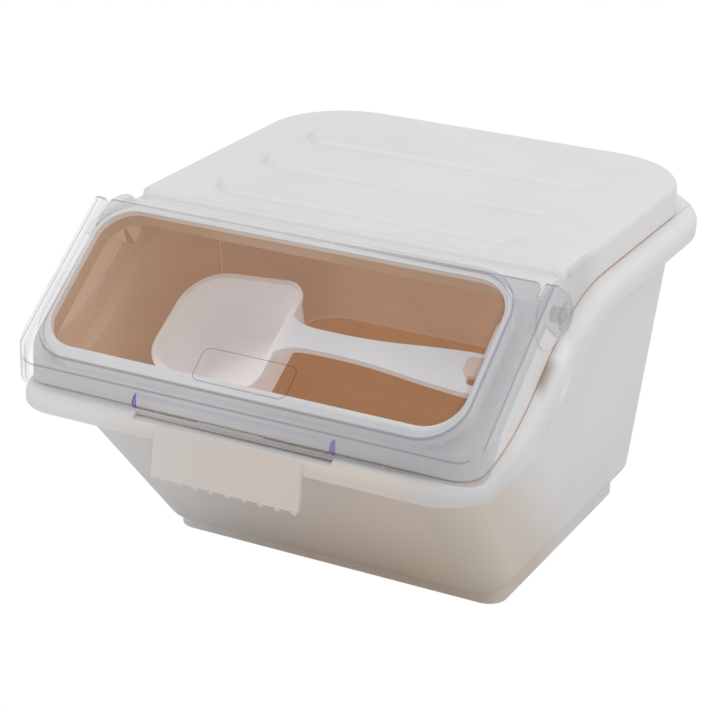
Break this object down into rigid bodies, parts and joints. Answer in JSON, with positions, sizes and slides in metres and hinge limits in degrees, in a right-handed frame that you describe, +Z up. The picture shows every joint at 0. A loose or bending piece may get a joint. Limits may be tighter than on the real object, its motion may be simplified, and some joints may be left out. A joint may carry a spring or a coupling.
{
  "type": "pet food bin",
  "caption": "Slant-front shelf bin for dry food: tapered tub with a wide rim, lift-off cover, clear hinged front lid with grip, and a scoop held in a clip.",
  "frame": {"origin": "centre of the bin's footprint, at the height of the surface it stands on", "axes": "+Z up, the slanting front with the clear lid faces -Y, +X to the right as seen from the front"},
  "size_m": [0.327, 0.399, 0.241],
  "materials": {
    "tub_plastic": "satin",
    "cover_plastic": "satin",
    "clear_plastic": "gloss",
    "scoop_plastic": "satin"
  },
  "bodies": {
    "tub": {"bin_body": "tub_plastic"},
    "top": {"cover": "cover_plastic", "hinge_pin_left": "clear_plastic", "hinge_pin_right": "clear_plastic", "scoop_holder": "scoop_plastic"},
    "lid": {"front_lid": "clear_plastic"},
    "scoop": {"scoop": "scoop_plastic"}
  },
  "joints": [
    {"name": "cover_lift", "type": "slide", "parent": "tub", "child": "top", "axis": [0, 0, 1], "range_m": [0, 0.04]},
    {"name": "lid_hinge", "type": "hinge", "parent": "top", "child": "lid", "pos_m": [0, -0.076, 0.2115], "axis": [-1, 0, 0], "range_deg": [0, 78]},
    {"name": "scoop_slide", "type": "slide", "parent": "top", "child": "scoop", "axis": [-1, 0, 0], "range_m": [0, 0.025]}
  ]
}
